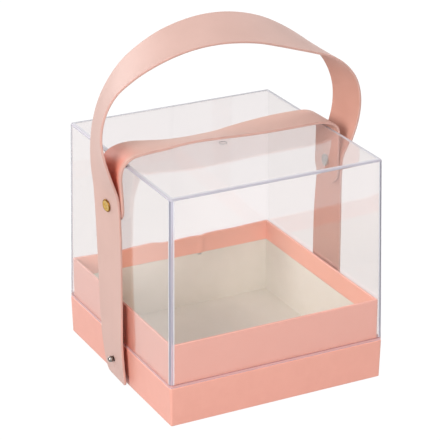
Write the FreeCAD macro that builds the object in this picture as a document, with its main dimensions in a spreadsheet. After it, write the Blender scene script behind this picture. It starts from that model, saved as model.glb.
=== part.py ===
import FreeCAD, Part
import math
import os
import re
import Sketcher

from FreeCAD import Placement, Rotation, Vector

# A gift box for flowers: a paper-wrapped board base with an inner neck tray, a clear cover
# that slides over the neck, and a leather strap that buttons onto two ball studs.
# The origin is the centre of the underside. X is the width, Y the depth, Z is up.

DIMENSIONS = [
    # base tray, measured over the paper
    ("boxWidth", 200.0, "width over the base's rim"),
    ("depthExtra", 4.0, "how much deeper than wide every section is"),
    ("baseHeight", 34.5, "height of the base's rim"),
    ("baseLean", 1.0, "how far each base wall leans out from bottom to rim"),
    ("paperGauge", 0.3, "wrapping paper with its glue"),
    ("tapeGauge", 0.15, "corner tape"),
    ("boardGauge", 2.0, "base board"),
    ("rimTurnIn", 10.0, "paper turned down inside the base's rim"),
    ("bottomTurnIn", 15.0, "paper turned under the base"),
    ("sheetGap", 0.2, "gap between the turned paper and the bottom sheet"),
    ("boxRound", 1.4, "outer radius of the base's upright corners"),
    ("boardRound", 1.0, "outer radius of the base board's corners"),
    ("creaseRound", 0.3, "inner radius of a folded board's corners"),
    ("sheetRound", 0.2, "corner radius of a cut sheet"),
    # neck tray
    ("neckWidth", 193.0, "width over the neck"),
    ("neckTop", 72.0, "height of the neck's top edge"),
    ("neckBoardGauge", 1.5, "neck board"),
    ("neckSkirt", 14.0, "how far the neck's paper goes below the base's rim"),
    ("neckTurnIn", 18.0, "paper turned down inside the neck"),
    ("neckRound", 1.2, "outer radius of the neck's upright corners"),
    ("liningGauge", 0.25, "cream lining paper"),
    ("stayReach", 16.0, "how far a corner tape reaches from the corner"),
    ("stayInset", 1.0, "how far a corner tape stops short of the board's edges"),
    # clear cover
    ("coverSetback", 0.2, "how far the cover's foot stands inside the base's rim"),
    ("coverSeatGap", 0.3, "gap between the cover's foot and the rim"),
    ("coverTop", 198.5, "height of the cover's top"),
    ("coverDraft", 3.0, "how far each cover wall leans in from foot to top"),
    ("coverWall", 2.0, "wall thickness"),
    ("coverRound", 2.5, "outer radius of the upright corners"),
    ("coverTopRound", 1.2, "outer radius of the top edges"),
    ("coverInnerRound", 0.6, "inner radius of the upright corners"),
    # straps
    ("strapWidth", 40.0, "width of the handle strap"),
    ("holdWidth", 38.0, "width of the hold-down strap"),
    ("strapGauge", 2.0, "thickness of both straps"),
    ("bendHeight", 36.0, "height where the strap's end bends out to unbutton"),
    ("bendGap", 0.4, "gap at that bend"),
    ("buttonholeRadius", 2.4, "hole in each strap end"),
    ("tipRound", 5.0, "corner radius of the handle strap's tips"),
    ("holdTipRound", 9.0, "corner radius of the hold-down strap's tips"),
    ("slitWidth", 0.4, "width of the slit below each buttonhole"),
    ("slitLength", 6.0, "how far that slit runs below the hole"),
    ("rivetHoleRadius", 2.5, "hole for each rivet's post"),
    # ball studs and their screws
    ("studSeat", 99.7, "distance of the stud's flange from the middle"),
    ("studY", -2.0, "how far behind the middle the studs stand"),
    ("studZ", 19.5, "height of the studs"),
    ("studFlangeRadius", 4.0, "flange radius"),
    ("studFlangeGauge", 1.2, "flange thickness"),
    ("studNeckRadius", 1.7, "neck radius"),
    ("studNeckLength", 7.0, "neck length up to the ball's middle"),
    ("studBallRadius", 2.8, "ball radius"),
    ("studBoreRadius", 1.2, "threaded hole from the back"),
    ("studBoreDepth", 5.0, "depth of that hole"),
    ("screwHeadRadius", 3.8, "screw head radius"),
    ("screwHeadGauge", 0.9, "screw head thickness"),
    ("screwShankRadius", 1.15, "screw shank radius"),
    ("screwSeat", 97.7, "distance of the head's bearing face from the middle"),
    ("screwLength", 6.0, "shank length"),
    ("screwHeadPlay", 0.2, "play around the screw head in its seat"),
    ("boardHoleRadius", 1.5, "hole through board and paper"),
    # rivets
    ("rivetCapRadius", 5.6, "cap radius"),
    ("rivetCapGauge", 1.2, "cap thickness at the rim"),
    ("rivetCapBevel", 0.5, "bevel of the cap's edge"),
    ("rivetPostRadius", 2.0, "post radius"),
    ("rivetBackRadius", 5.6, "back cap radius"),
    ("rivetBackGauge", 1.0, "back cap thickness"),
    ("rivetGrip", 5.6, "distance between the two caps' inner faces"),
]

# The handle strap's run from the left tip to the right tip, as places along its middle:
# x, y, z, then yaw (degrees that the back edge is turned towards +X) and tip (degrees that
# the back edge is raised). The arch leans forward and stands wider on the right.
HANDLE_RUN = [
    (-102.5, -2.5, 1.4, 3, -2),
    (-105.3, -1.0, 36.0, 0, -2),
    (-105.0, 1.0, 77.0, -3, -2),
    (-104.6, 2.5, 115.0, -5, -2),
    (-104.9, 3.2, 146.0, -6, -2),
    (-105.3, 3.5, 158.5, -6, -2),
    (-106.2, 3.8, 171.0, -5, -1),
    (-110.0, 4.0, 189.0, 1, 0),
    (-112.6, 4.2, 208.0, 9, 1),
    (-112.4, 4.0, 226.0, 15, 1),
    (-108.2, 2.5, 244.8, 17, 1),
    (-100.0, -0.3, 261.5, 16, 2),
    (-87.8, -4.2, 275.5, 11, 6),
    (-73.3, -8.4, 286.5, 8, 10),
    (-57.1, -12.3, 295.2, 6, 14),
    (-39.6, -15.6, 301.0, 5, 17),
    (-21.1, -18.1, 303.8, 4, 20),
    (-2.4, -19.4, 303.4, 4, 22),
    (16.2, -19.5, 300.2, 4, 22),
    (34.1, -18.6, 294.5, 4, 21),
    (51.3, -17.0, 287.3, 2, 17),
    (68.2, -15.0, 279.2, -1, 11),
    (84.5, -12.8, 270.2, -5, 5),
    (99.0, -10.5, 258.6, -7, 3),
    (110.0, -8.5, 243.5, -8, 2),
    (115.6, -7.0, 225.6, -6, 3),
    (115.4, -6.0, 207.0, -3, 3),
    (110.9, -5.0, 189.0, -1, 2),
    (105.0, -4.0, 174.0, 0, 2),
    (104.0, -3.0, 163.5, 0, 2),
    (103.4, -3.0, 150.0, 0, 2),
    (103.0, -2.0, 115.0, -4, 1),
    (103.4, -1.0, 77.0, -5, 1),
    (103.8, -1.0, 36.0, -4, 1),
    (104.0, -1.0, 2.0, -4, 0),
]

# The hold-down strap's run, from its left tip over the cover to its right tip.
HOLD_RUN = [
    (-102.0, 1.0, 144.0, -6, 0),
    (-102.3, 1.0, 158.5, -6, 0),
    (-102.8, 0.5, 175.0, -5, 0),
    (-102.8, 0.0, 188.0, -2, 0),
    (-100.0, 0.0, 197.6, 0, -1),
    (-92.0, -0.2, 203.6, 1, -3),
    (-79.0, -0.5, 205.6, 1, -4),
    (-63.0, -1.0, 205.3, 1, -8),
    (-48.0, -1.5, 205.2, 1, -13),
    (-32.0, -2.0, 205.2, 1, -15),
    (-16.0, -2.3, 205.0, 1, -14),
    (0.0, -2.5, 205.0, 1, -12),
    (15.0, -2.8, 205.6, 0, -8),
    (30.0, -3.0, 206.2, 0, -5),
    (45.0, -3.0, 206.7, 0, -3),
    (60.0, -3.0, 207.0, 0, -2),
    (76.0, -3.0, 207.0, 0, -2),
    (89.0, -3.0, 205.8, 0, -1),
    (98.4, -3.0, 200.8, 0, -1),
    (101.0, -3.0, 191.0, 0, -1),
    (101.2, -3.0, 177.0, 0, -1),
    (101.0, -3.0, 163.5, 0, -1),
    (100.7, -3.0, 147.0, 0, -1),
]

# Each rivet: the side it is on, its middle between the two caps, the yaw of the straps there
# and how far its axis droops outwards.
RIVETS = {
    "left": (-1, Vector(-103.8, 2.0, 159.3), -8, 3.5),
    "right": (1, Vector(102.5, -3.0, 163.5), 0, 2.0),
}

SPAN_CUTS = 2      # flat lengths between two stations of a run
TIP_CUTS = 4       # flat lengths around each rounded corner of a strap's tip
CUTTER = 100.0     # side of a box that only cuts
HOLE_REACH = 10.0  # length of a tool that cuts a hole through a strap

doc = FreeCAD.newDocument("flower_box")
sheet = doc.addObject("Spreadsheet::Sheet", "Dimensions")
for row, (alias, value, note) in enumerate(DIMENSIONS, start=1):
    sheet.set("A%d" % row, note)
    sheet.set("B%d" % row, str(value))
    sheet.setAlias("B%d" % row, alias)
doc.recompute()

SUBPARTS = []


def size(alias):
    """A driving dimension's value, for the pieces that are shaped in code."""
    return float(sheet.get(alias))


def formula(text):
    """An expression in which every dimension's name points at its cell."""
    names = "|".join(alias for alias, value, note in DIMENSIONS)
    return re.sub(r"\b(%s)\b" % names, r"Dimensions.\1", text)


def add_body(label):
    """An empty PartDesign body."""
    body = doc.addObject("PartDesign::Body", label)
    body.Label = label
    return body


def origin_plane(body, role):
    """One of a body's own origin planes."""
    return next(item for item in body.Origin.OriginFeatures if item.Role == role)


def new_sketch(body, name, role, offset=None):
    """A sketch on one of the body's origin planes, raised by an expression if one is given."""
    sketch = body.newObject("Sketcher::SketchObject", name)
    sketch.AttachmentSupport = (origin_plane(body, role), [""])
    sketch.MapMode = "FlatFace"
    if offset is not None:
        sketch.setExpression("AttachmentOffset.Base.z", formula(offset))
    return sketch


def bind(sketch, kind, *places, to, value):
    """Add one named dimension to a sketch and bind it to an expression."""
    index = sketch.addConstraint(Sketcher.Constraint(kind, *places, value))
    name = "%s%d" % (kind, index)
    sketch.renameConstraint(index, name)
    sketch.setExpression("Constraints." + name, formula(to))


def rounded_rectangle(body, name, height, width, corner):
    """A rectangle with round corners, centred on the origin at the given height. It is drawn
    at a rough size first, and its dimensions then take their values from the sheet."""
    sketch = new_sketch(body, name, "XY_Plane", height)
    x, y, r = 90.0, 92.0, 1.0
    runs = [((x - r, y), (r - x, y)), ((-x, y - r), (-x, r - y)),
            ((r - x, -y), (x - r, -y)), ((x, r - y), (x, y - r))]
    centres = [(r - x, y - r), (r - x, r - y), (x - r, r - y), (x - r, y - r)]
    for (start_x, start_y), (end_x, end_y) in runs:
        start, end = Vector(start_x, start_y, 0), Vector(end_x, end_y, 0)
        sketch.addGeometry(Part.LineSegment(start, end), False)
    for turn, (centre_x, centre_y) in enumerate(centres, start=1):
        circle = Part.Circle(Vector(centre_x, centre_y, 0), Vector(0, 0, 1), r)
        start = turn * math.pi / 2
        sketch.addGeometry(Part.ArcOfCircle(circle, start, start + math.pi / 2), False)
    for side in range(4):
        arc = 4 + side
        sketch.addConstraint(Sketcher.Constraint("Tangent", side, 2, arc, 1))
        sketch.addConstraint(Sketcher.Constraint("Tangent", arc, 2, (side + 1) % 4, 1))
        sketch.addConstraint(Sketcher.Constraint("Vertical" if side % 2 else "Horizontal", side))
    for arc in (5, 6, 7):
        sketch.addConstraint(Sketcher.Constraint("Equal", 4, arc))
    sketch.addConstraint(Sketcher.Constraint("Symmetric", 4, 3, 6, 3, -1, 1))
    bind(sketch, "Radius", 4, to=corner, value=r)
    inner = "(%s) - 2 * (%s)" % (width, corner)
    bind(sketch, "DistanceX", 4, 3, 7, 3, to=inner, value=2 * (x - r))
    bind(sketch, "DistanceY", 6, 3, 7, 3, to=inner + " + depthExtra", value=2 * (y - r))
    return sketch


def block(body, name, width, low, high, corner, lean="0", cut=False):
    """Add (or cut) a block from low to high. width is taken at low, and lean is how far each
    wall moves outwards for every millimetre of height."""
    sketch = rounded_rectangle(body, name + "_outline", low, width, corner)
    kind = "PartDesign::Pocket" if cut else "PartDesign::Pad"
    feature = body.newObject(kind, name)
    feature.Profile = sketch
    feature.Reversed = cut
    feature.setExpression("Length", formula("(%s) - (%s)" % (high, low)))
    if lean != "0":
        feature.setExpression("TaperAngle", formula("atan(%s)" % lean))
    sketch.Visibility = False
    return feature


def keep(item, label):
    """List an object as a sub-part under the name of its file."""
    item.Label = label
    SUBPARTS.append(item)
    return item


def fuse(label, *items):
    """One object from several."""
    union = doc.addObject("Part::MultiFuse", label)
    union.Shapes = list(items)
    return union


def disc(label, radius, height, low="0"):
    """A cylinder along its own Z, standing at low."""
    cylinder = doc.addObject("Part::Cylinder", label)
    cylinder.setExpression("Radius", formula(radius))
    cylinder.setExpression("Height", formula(height))
    cylinder.setExpression("Placement.Base.z", formula(low))
    return cylinder


# Section widths at a height z, for a surface that lies inset inside the outermost one.

BASE_LEAN = "baseLean / baseHeight"
COVER_LEAN = "-coverDraft / (coverTop - baseHeight - coverSeatGap)"


def base_width(inset, z):
    return "boxWidth - 2 * (%s) - 2 * baseLean * (1 - (%s) / baseHeight)" % (inset, z)


def neck_width(inset):
    return "neckWidth - 2 * (%s)" % inset


def cover_width(inset, z):
    rise = "((%s) - baseHeight - coverSeatGap)" % z
    return "boxWidth - 2 * (coverSetback + %s) + 2 * (%s) * %s" % (inset, COVER_LEAN, rise)


def base_block(body, name, inset, low, high, corner, cut=False):
    return block(body, name, base_width(inset, low), low, high, corner, BASE_LEAN, cut)


def neck_block(body, name, inset, low, high, corner, cut=False):
    return block(body, name, neck_width(inset), low, high, corner, "0", cut)


def side_hole(body, name, radius, reach=None):
    """A round hole along X through both side walls, or only out to reach from the middle."""
    sketch = new_sketch(body, name + "_outline", "YZ_Plane")
    y, z, r = size("studY"), size("studZ"), 1.5
    sketch.addGeometry(Part.Circle(Vector(y, z, 0), Vector(0, 0, 1), r), False)
    bind(sketch, "Radius", 0, to=radius, value=r)
    bind(sketch, "DistanceX", -1, 1, 0, 3, to="studY", value=y)
    bind(sketch, "DistanceY", -1, 1, 0, 3, to="studZ", value=z)
    hole = body.newObject("PartDesign::Pocket", name)
    hole.Profile = sketch
    hole.Midplane = True
    if reach is None:
        hole.Type = "ThroughAll"
    else:
        hole.setExpression("Length", formula("2 * (%s)" % reach))
    sketch.Visibility = False
    return hole


# Base tray

def make_base_board():
    body = add_body("base_board")
    outer = "paperGauge + tapeGauge"
    inner = outer + " + boardGauge"
    floor = "paperGauge + boardGauge"
    base_block(body, "board_outside", outer, "paperGauge", "baseHeight - paperGauge", "boardRound")
    base_block(body, "board_inside", inner, floor, "baseHeight", "creaseRound", cut=True)
    side_hole(body, "board_stud_holes", "boardHoleRadius")
    side_hole(body, "board_head_seats", "screwHeadRadius + screwHeadPlay", "screwSeat")
    return keep(body, "base_board")


def make_base_wrap():
    body = add_body("base_wrap")
    turned = "paperGauge + tapeGauge + boardGauge"
    low = "baseHeight - rimTurnIn"
    base_block(body, "wrap_outside", "0", "0", "baseHeight", "boxRound")
    base_block(body, "wrap_space", "paperGauge", "paperGauge", "baseHeight - paperGauge",
               "boxRound - paperGauge", cut=True)
    base_block(body, "wrap_turned", turned, low, "baseHeight - paperGauge", "boxRound - paperGauge")
    base_block(body, "wrap_mouth", turned + " + paperGauge", low, "baseHeight",
               "boxRound - 2 * paperGauge", cut=True)
    base_block(body, "wrap_window", "bottomTurnIn", "0", "paperGauge", "sheetRound", cut=True)
    side_hole(body, "wrap_stud_holes", "boardHoleRadius")
    return keep(body, "base_wrap")


def make_bottom_sheet():
    body = add_body("bottom_sheet")
    base_block(body, "sheet", "bottomTurnIn + sheetGap", "0", "paperGauge", "sheetRound")
    return keep(body, "bottom_sheet")


def make_corner_stays(label, add_block, low, high, outer_corner):
    """Four folded tapes, cut from a thin ring of tape by a box at each corner."""
    ring = add_body(label + "_ring")
    add_block(ring, label + "_outside", "paperGauge", low, high, outer_corner)
    inset = "paperGauge + tapeGauge"
    add_block(ring, label + "_inside", inset, low, high, outer_corner + " - tapeGauge", cut=True)
    middle = "boxWidth / 2 - stayReach + %g" % (CUTTER / 2)
    corners = []
    for across in (-1, 1):
        for along in (-1, 1):
            box = doc.addObject("Part::Box", label + "_corner")
            box.Length = box.Width = box.Height = CUTTER
            for axis, side, edge in (("x", across, middle), ("y", along, middle + " + depthExtra / 2")):
                place = "%d * (%s) - %g" % (side, edge, CUTTER / 2)
                box.setExpression("Placement.Base." + axis, formula(place))
            corners.append(box)
    stays = doc.addObject("Part::Common", label)
    stays.Base = ring
    stays.Tool = fuse(label + "_corners", *corners)
    return keep(stays, label)


# Neck tray

def make_neck_board():
    body = add_body("neck_board")
    outer = "paperGauge + tapeGauge"
    low = "paperGauge + boardGauge"
    neck_block(body, "neck_outside", outer, low, "neckTop - paperGauge", "neckRound - paperGauge")
    neck_block(body, "neck_inside", outer + " + neckBoardGauge", low + " + neckBoardGauge",
               "neckTop", "creaseRound", cut=True)
    return keep(body, "neck_board")


def make_neck_wrap():
    body = add_body("neck_wrap")
    turned = "paperGauge + tapeGauge + neckBoardGauge"
    skirt = "baseHeight - neckSkirt"
    low = "neckTop - neckTurnIn"
    neck_block(body, "skin_outside", "0", skirt, "neckTop", "neckRound")
    neck_block(body, "skin_space", "paperGauge", skirt, "neckTop - paperGauge",
               "neckRound - paperGauge", cut=True)
    neck_block(body, "skin_turned", turned, low, "neckTop - paperGauge", "creaseRound")
    neck_block(body, "skin_mouth", turned + " + paperGauge", low, "neckTop", "sheetRound", cut=True)
    return keep(body, "neck_wrap")


def make_wall_lining():
    body = add_body("wall_lining")
    outer = "paperGauge + tapeGauge + neckBoardGauge"
    floor = "paperGauge + boardGauge + neckBoardGauge + liningGauge"
    high = "neckTop - neckTurnIn - sheetGap"
    neck_block(body, "lining_outside", outer, floor, high, "creaseRound")
    neck_block(body, "lining_inside", outer + " + liningGauge", floor, high, "sheetRound", cut=True)
    return keep(body, "wall_lining")


def make_floor_lining():
    body = add_body("floor_lining")
    inset = "paperGauge + tapeGauge + neckBoardGauge"
    low = "paperGauge + boardGauge + neckBoardGauge"
    neck_block(body, "floor_sheet", inset, low, low + " + liningGauge", "creaseRound")
    return keep(body, "floor_lining")


# Cover

def cover_wedge(body, name, inset, low, high, cut=False):
    """Add (or cut) a block whose flat walls follow the cover's draft, inset from its outside.
    A wedge tapers along its own Y, which stands upright here."""
    kind = "PartDesign::SubtractiveWedge" if cut else "PartDesign::AdditiveWedge"
    wedge = body.newObject(kind, name)
    wedge.Placement = Placement(Vector(), Rotation(Vector(1, 0, 0), 90))
    wedge.setExpression("Ymin", formula(low))
    wedge.setExpression("Ymax", formula(high))
    for number, height in (("", low), ("2", high)):
        width = cover_width(inset, height)
        for end, half in (("min", "-0.5"), ("max", "0.5")):
            wedge.setExpression("X" + number + end, formula("%s * (%s)" % (half, width)))
            wedge.setExpression("Z" + number + end, formula("%s * (%s + depthExtra)" % (half, width)))
    return wedge


def round_edges(body, name, radius, low, high):
    """Round the edges of the body so far that reach exactly from one height to the other."""
    doc.recompute()
    base = body.Tip
    names = []
    for number, edge in enumerate(base.Shape.Edges, start=1):
        box = edge.BoundBox
        if abs(box.ZMin - low) < 0.01 and abs(box.ZMax - high) < 0.01:
            names.append("Edge%d" % number)
    fillet = body.newObject("PartDesign::Fillet", name)
    fillet.Base = (base, names)
    fillet.setExpression("Radius", formula(radius))
    return fillet


def make_clear_cover():
    body = add_body("clear_cover")
    foot = size("baseHeight") + size("coverSeatGap")
    top = size("coverTop")
    foot_text = "baseHeight + coverSeatGap"
    cover_wedge(body, "cover_outside", "0", foot_text, "coverTop")
    round_edges(body, "cover_corners", "coverRound", foot, top)
    round_edges(body, "cover_rim", "coverTopRound", top, top)
    cover_wedge(body, "cover_inside", "coverWall", foot_text, "coverTop - coverWall", cut=True)
    round_edges(body, "cover_inner_corners", "coverInnerRound", foot, top - size("coverWall"))
    return keep(body, "clear_cover")


# Straps

def place_at(run, station):
    """The middle of a strap and the direction across it at a station number, which may lie
    between two listed stations, on a smooth curve through all of them."""
    span = min(int(station), len(run) - 2)
    t = station - span
    listed = [run[min(max(span + step, 0), len(run) - 1)] for step in (-1, 0, 1, 2)]
    x, y, z, yaw, tip = (
        b + 0.5 * t * (c - a + t * (2 * a - 5 * b + 4 * c - d + t * (3 * b - a - 3 * c + d)))
        for a, b, c, d in zip(*listed))
    yaw, tip = math.radians(yaw), math.radians(tip)
    across = Vector(math.sin(yaw) * math.cos(tip), math.cos(yaw) * math.cos(tip), math.sin(tip))
    return Vector(x, y, z), across


def strap_stations(run, width, corner):
    """Station numbers along a whole run with the strap's half width at each. Both tips have
    rounded corners."""
    last = len(run) - 1
    halves = {cut / SPAN_CUTS: width / 2 for cut in range(last * SPAN_CUTS + 1)}
    for tip, inward in ((0, 1), (last, -1)):
        span = (Vector(*run[tip + inward][:3]) - Vector(*run[tip][:3])).Length
        for cut in range(TIP_CUTS):
            turn = math.pi / 2 * cut / TIP_CUTS
            station = tip + inward * corner * (1 - math.cos(turn)) / span
            halves[station] = width / 2 - corner * (1 - math.sin(turn))
    return sorted(halves.items())


def flat_face(*corners):
    """A flat face with the given corners."""
    return Part.Face(Part.makePolygon([*corners, corners[0]]))


def strap_solid(run, width, corner):
    """A strap of even thickness along a run, made of flat faces."""
    stations = strap_stations(run, width, corner)
    places = [place_at(run, station) for station, half in stations]
    gauge = size("strapGauge")
    sections = []
    for index, (middle, across) in enumerate(places):
        before, after = max(index - 1, 0), min(index + 1, len(places) - 1)
        along = places[after][0] - places[before][0]
        outward = along.cross(across).normalize() * (gauge / 2)
        edge = across * stations[index][1]
        sections.append([middle + edge + outward, middle - edge + outward,
                         middle - edge - outward, middle + edge - outward])
    faces = [flat_face(*sections[0]), flat_face(*sections[-1])]
    for near, far in zip(sections, sections[1:]):
        for corner in range(4):
            following = (corner + 1) % 4
            faces.append(flat_face(near[corner], near[following], far[corner]))
            faces.append(flat_face(near[following], far[following], far[corner]))
    return Part.Solid(Part.Shell(faces))


def rivet_axis(end):
    """The outward direction of a rivet's post."""
    side, middle, yaw, droop = RIVETS[end]
    yaw, droop = math.radians(yaw), math.radians(droop)
    return Vector(side * math.cos(yaw) * math.cos(droop), -side * math.sin(yaw) * math.cos(droop),
                  -math.sin(droop))


def rivet_hole(end):
    """The cutter for one rivet's hole through both straps."""
    middle = RIVETS[end][1]
    start = middle - rivet_axis(end) * HOLE_REACH / 2
    return Part.makeCylinder(size("rivetHoleRadius"), HOLE_REACH, start, rivet_axis(end))


def buttonhole(side):
    """The cutters for one buttonhole: a round hole with a slit below it."""
    start = Vector(side * size("studSeat"), size("studY"), size("studZ"))
    hole = Part.makeCylinder(size("buttonholeRadius"), HOLE_REACH, start, Vector(side, 0, 0))
    drop = size("buttonholeRadius") + size("slitLength")
    inward = HOLE_REACH if side < 0 else 0
    corner = start - Vector(inward, size("slitWidth") / 2, drop)
    slit = Part.makeBox(HOLE_REACH, size("slitWidth"), drop, corner)
    return [hole, slit]


def keep_shape(shape, label):
    """Keep a shape that is made in code as a sub-part."""
    item = doc.addObject("Part::Feature", label)
    item.Shape = shape
    return keep(item, label)


def make_handle_strap():
    """The long strap, parted at the bends so that each end can swing off its stud."""
    cutters = [rivet_hole("left"), rivet_hole("right"), *buttonhole(-1), *buttonhole(1)]
    gap = size("bendGap")
    corner = Vector(-2 * CUTTER, -CUTTER, size("bendHeight") - gap / 2)
    cutters.append(Part.makeBox(4 * CUTTER, 2 * CUTTER, gap, corner))
    whole = strap_solid(HANDLE_RUN, size("strapWidth"), size("tipRound"))
    for solid in whole.cut(cutters).Solids:
        if solid.BoundBox.ZMax > size("bendHeight"):
            keep_shape(solid, "handle_strap")
        elif solid.BoundBox.XMax < 0:
            keep_shape(solid, "left_strap_end")
        else:
            keep_shape(solid, "right_strap_end")


def make_hold_down_strap():
    strap = strap_solid(HOLD_RUN, size("holdWidth"), size("holdTipRound"))
    holes = [rivet_hole("left"), rivet_hole("right")]
    return keep_shape(strap.cut(holes).Solids[0], "hold_down_strap")


# Ball studs and rivets. Each is built along its own Z, which then points outwards.

def stand_out(item, side, seat):
    """Place an item of a stud on its side of the base."""
    item.Placement = Placement(Vector(), Rotation(Vector(0, 1, 0), 90 * side))
    item.setExpression("Placement.Base.x", formula("%d * %s" % (side, seat)))
    item.setExpression("Placement.Base.y", formula("studY"))
    item.setExpression("Placement.Base.z", formula("studZ"))


def make_stud(end, side):
    label = end + "_stud"
    flange = disc(label + "_flange", "studFlangeRadius", "studFlangeGauge")
    neck = disc(label + "_neck", "studNeckRadius", "studNeckLength", "studFlangeGauge")
    ball = doc.addObject("Part::Sphere", label + "_ball")
    ball.setExpression("Radius", formula("studBallRadius"))
    ball.setExpression("Placement.Base.z", formula("studFlangeGauge + studNeckLength"))
    stud = doc.addObject("Part::Cut", label)
    stud.Base = fuse(label + "_outside", flange, neck, ball)
    stud.Tool = disc(label + "_bore", "studBoreRadius", "studBoreDepth")
    stand_out(stud, side, "studSeat")
    return keep(stud, label)


def make_stud_screw(end, side):
    label = end + "_stud_screw"
    head = disc(label + "_head", "screwHeadRadius", "screwHeadGauge", "-screwHeadGauge")
    shank = disc(label + "_shank", "screwShankRadius", "screwLength")
    screw = fuse(label, head, shank)
    stand_out(screw, side, "screwSeat")
    return keep(screw, label)


def make_rivet(end):
    label = end + "_rivet"
    post = disc(label + "_post", "rivetPostRadius", "rivetGrip", "-rivetGrip / 2")
    rim = disc(label + "_rim", "rivetCapRadius", "rivetCapGauge - rivetCapBevel", "rivetGrip / 2")
    crown = doc.addObject("Part::Cone", label + "_crown")
    crown.setExpression("Radius1", formula("rivetCapRadius"))
    crown.setExpression("Radius2", formula("rivetCapRadius - rivetCapBevel"))
    crown.setExpression("Height", formula("rivetCapBevel"))
    top = "rivetGrip / 2 + rivetCapGauge - rivetCapBevel"
    crown.setExpression("Placement.Base.z", formula(top))
    rivet = fuse(label, post, rim, crown)
    rivet.Placement = Placement(RIVETS[end][1], Rotation(Vector(0, 0, 1), rivet_axis(end)))
    return keep(rivet, label)


def make_rivet_back(end):
    label = end + "_rivet_back"
    back = doc.addObject("Part::Cone", label)
    back.setExpression("Radius1", formula("rivetBackRadius - rivetCapBevel"))
    back.setExpression("Radius2", formula("rivetBackRadius"))
    back.setExpression("Height", formula("rivetBackGauge"))
    seat = RIVETS[end][1] - rivet_axis(end) * (size("rivetGrip") / 2 + size("rivetBackGauge"))
    back.Placement = Placement(seat, Rotation(Vector(0, 0, 1), rivet_axis(end)))
    return keep(back, label)


make_base_board()
make_corner_stays("base_corner_stays", base_block, "stayInset", "baseHeight - stayInset",
                  "boardRound + tapeGauge")
make_base_wrap()
make_bottom_sheet()
make_neck_board()
make_corner_stays("neck_corner_stays", neck_block, "paperGauge + boardGauge + stayInset",
                  "neckTop - stayInset", "neckRound - paperGauge")
make_neck_wrap()
make_wall_lining()
make_floor_lining()
make_clear_cover()
make_handle_strap()
make_hold_down_strap()
for end, side in (("left", -1), ("right", 1)):
    make_stud(end, side)
    make_stud_screw(end, side)
    make_rivet(end)
    make_rivet_back(end)
doc.recompute()

for item in doc.Objects:
    if "Invalid" in item.State or "Error" in item.State:
        raise RuntimeError("%s could not be built: %s" % (item.Label, item.State))
for item in SUBPARTS:
    if item.Shape.isNull() or not item.Shape.isValid():
        raise RuntimeError("%s has no sound shape" % item.Label)

os.makedirs("parts", exist_ok=True)
for item in SUBPARTS:
    item.Shape.exportStep("parts/%s.step" % item.Label)
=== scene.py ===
import bisect
import math

import bmesh
import bpy
from mathutils import Matrix, Vector, noise


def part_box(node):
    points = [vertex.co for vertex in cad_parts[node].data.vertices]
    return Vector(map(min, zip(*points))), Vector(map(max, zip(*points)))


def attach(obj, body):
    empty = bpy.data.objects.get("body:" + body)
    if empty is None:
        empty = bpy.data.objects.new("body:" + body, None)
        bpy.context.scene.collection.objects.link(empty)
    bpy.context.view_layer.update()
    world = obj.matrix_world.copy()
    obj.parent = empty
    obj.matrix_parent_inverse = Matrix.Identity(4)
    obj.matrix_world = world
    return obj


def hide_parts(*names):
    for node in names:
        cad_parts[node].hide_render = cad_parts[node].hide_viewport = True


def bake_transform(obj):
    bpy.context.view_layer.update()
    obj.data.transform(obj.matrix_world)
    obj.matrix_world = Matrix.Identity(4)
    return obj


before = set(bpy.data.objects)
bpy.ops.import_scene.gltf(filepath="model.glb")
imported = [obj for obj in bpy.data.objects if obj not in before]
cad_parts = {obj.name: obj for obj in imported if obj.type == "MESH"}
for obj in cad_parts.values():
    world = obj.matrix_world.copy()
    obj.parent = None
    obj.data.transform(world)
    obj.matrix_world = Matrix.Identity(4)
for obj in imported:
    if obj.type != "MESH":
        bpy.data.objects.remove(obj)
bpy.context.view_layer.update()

# A flower box: paper-covered base and neck, a clear cover and a leather strap handle.
# Metres throughout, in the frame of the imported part: X across, -Y to the front, Z up.

MM = 0.001


# ---------------------------------------------------------------- mesh helpers

def add_object(name, bm, material, smooth=True):
    """A new object from a bmesh, with one material."""
    bmesh.ops.recalc_face_normals(bm, faces=bm.faces)
    mesh = bpy.data.meshes.new(name)
    bm.to_mesh(mesh)
    bm.free()
    for polygon in mesh.polygons:
        polygon.use_smooth = smooth
    piece = bpy.data.objects.new(name, mesh)
    bpy.context.scene.collection.objects.link(piece)
    mesh.materials.append(material)
    return piece


def weight_normals(piece):
    """Keep large flat faces evenly shaded beside small rounded folds."""
    modifier = piece.modifiers.new("flat_faces", "WEIGHTED_NORMAL")
    modifier.keep_sharp = True
    return piece


def arc(centre, radius, start, end, steps=5):
    """Points on an arc in a profile, with angles in degrees."""
    points = []
    for step in range(steps + 1):
        angle = math.radians(start + (end - start) * step / steps)
        points.append((centre[0] + radius * math.cos(angle), centre[1] + radius * math.sin(angle)))
    return points


def ring_points(half_x, half_y, radius, side_steps):
    """A rounded rectangle about the origin, anticlockwise, with evenly divided sides."""
    points = []
    centres = [(half_x - radius, half_y - radius), (radius - half_x, half_y - radius),
               (radius - half_x, radius - half_y), (half_x - radius, radius - half_y)]
    for corner, centre in enumerate(centres):
        points += arc(centre, radius, 90 * corner, 90 * corner + 90)
        following = centres[(corner + 1) % 4]
        angle = math.radians(90 * corner + 90)
        offset = Vector((radius * math.cos(angle), radius * math.sin(angle)))
        start, end = Vector(centre) + offset, Vector(following) + offset
        for step in range(1, side_steps):
            points.append(tuple(start.lerp(end, step / side_steps)))
    return points


def bridge_rings(bm, near, far):
    """Join two rings of the same number of points."""
    for index in range(len(near)):
        following = (index + 1) % len(near)
        bm.faces.new((near[index], near[following], far[following], far[index]))


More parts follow.
